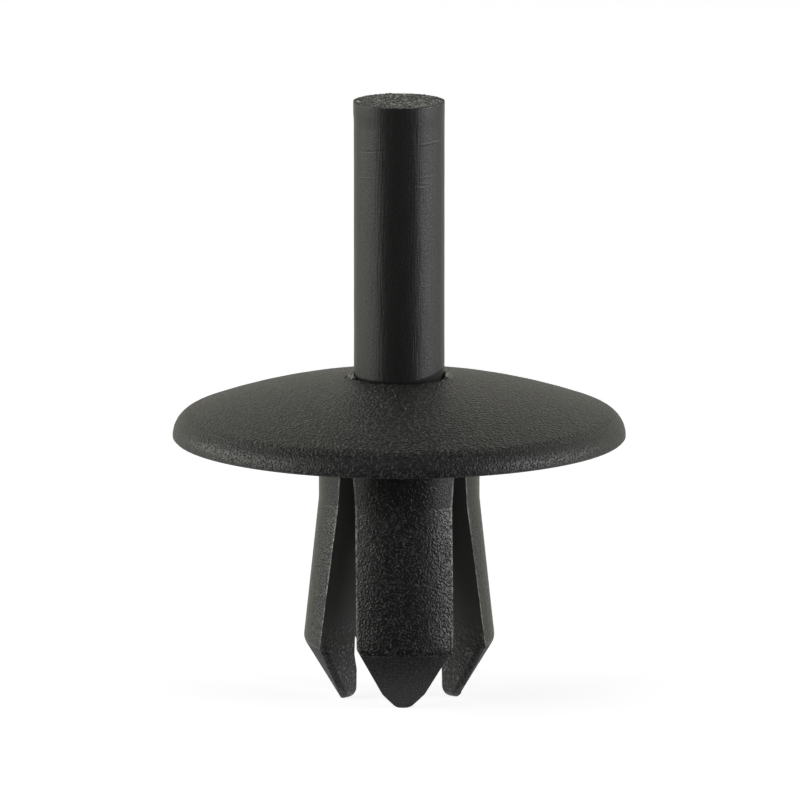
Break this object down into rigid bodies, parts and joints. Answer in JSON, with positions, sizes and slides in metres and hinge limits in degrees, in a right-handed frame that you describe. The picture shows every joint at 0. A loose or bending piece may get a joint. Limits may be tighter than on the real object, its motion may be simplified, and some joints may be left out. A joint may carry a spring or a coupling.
{
  "type": "plastic push rivet",
  "caption": "Plastic push rivet with a wide domed head, split snap-in legs and a drive pin that is pushed down flush to lock the legs behind a panel.",
  "frame": {"origin": "on the rivet's axis, in the plane of the head's seat that bears on the panel", "axes": "+Z is the rivet's axis, up out of the head through the pin; the legs lie along X and Y, and the slots between them on the diagonals"},
  "size_m": [0.02, 0.02, 0.0268],
  "materials": {
    "body_nylon": "black nylon, fine matte grain on the head, coarser pebbled grain on the legs",
    "pin_nylon": "black nylon, satin with faint lengthwise draw lines and a rough top"
  },
  "bodies": {
    "rivet": {"rivet_body": "body_nylon"},
    "pin": {"drive_pin": "pin_nylon"}
  },
  "joints": [
    {"name": "pin_drive", "type": "slide", "parent": "rivet", "child": "pin", "axis": [0, 0, -1], "range_m": [0, 0.01235]}
  ]
}
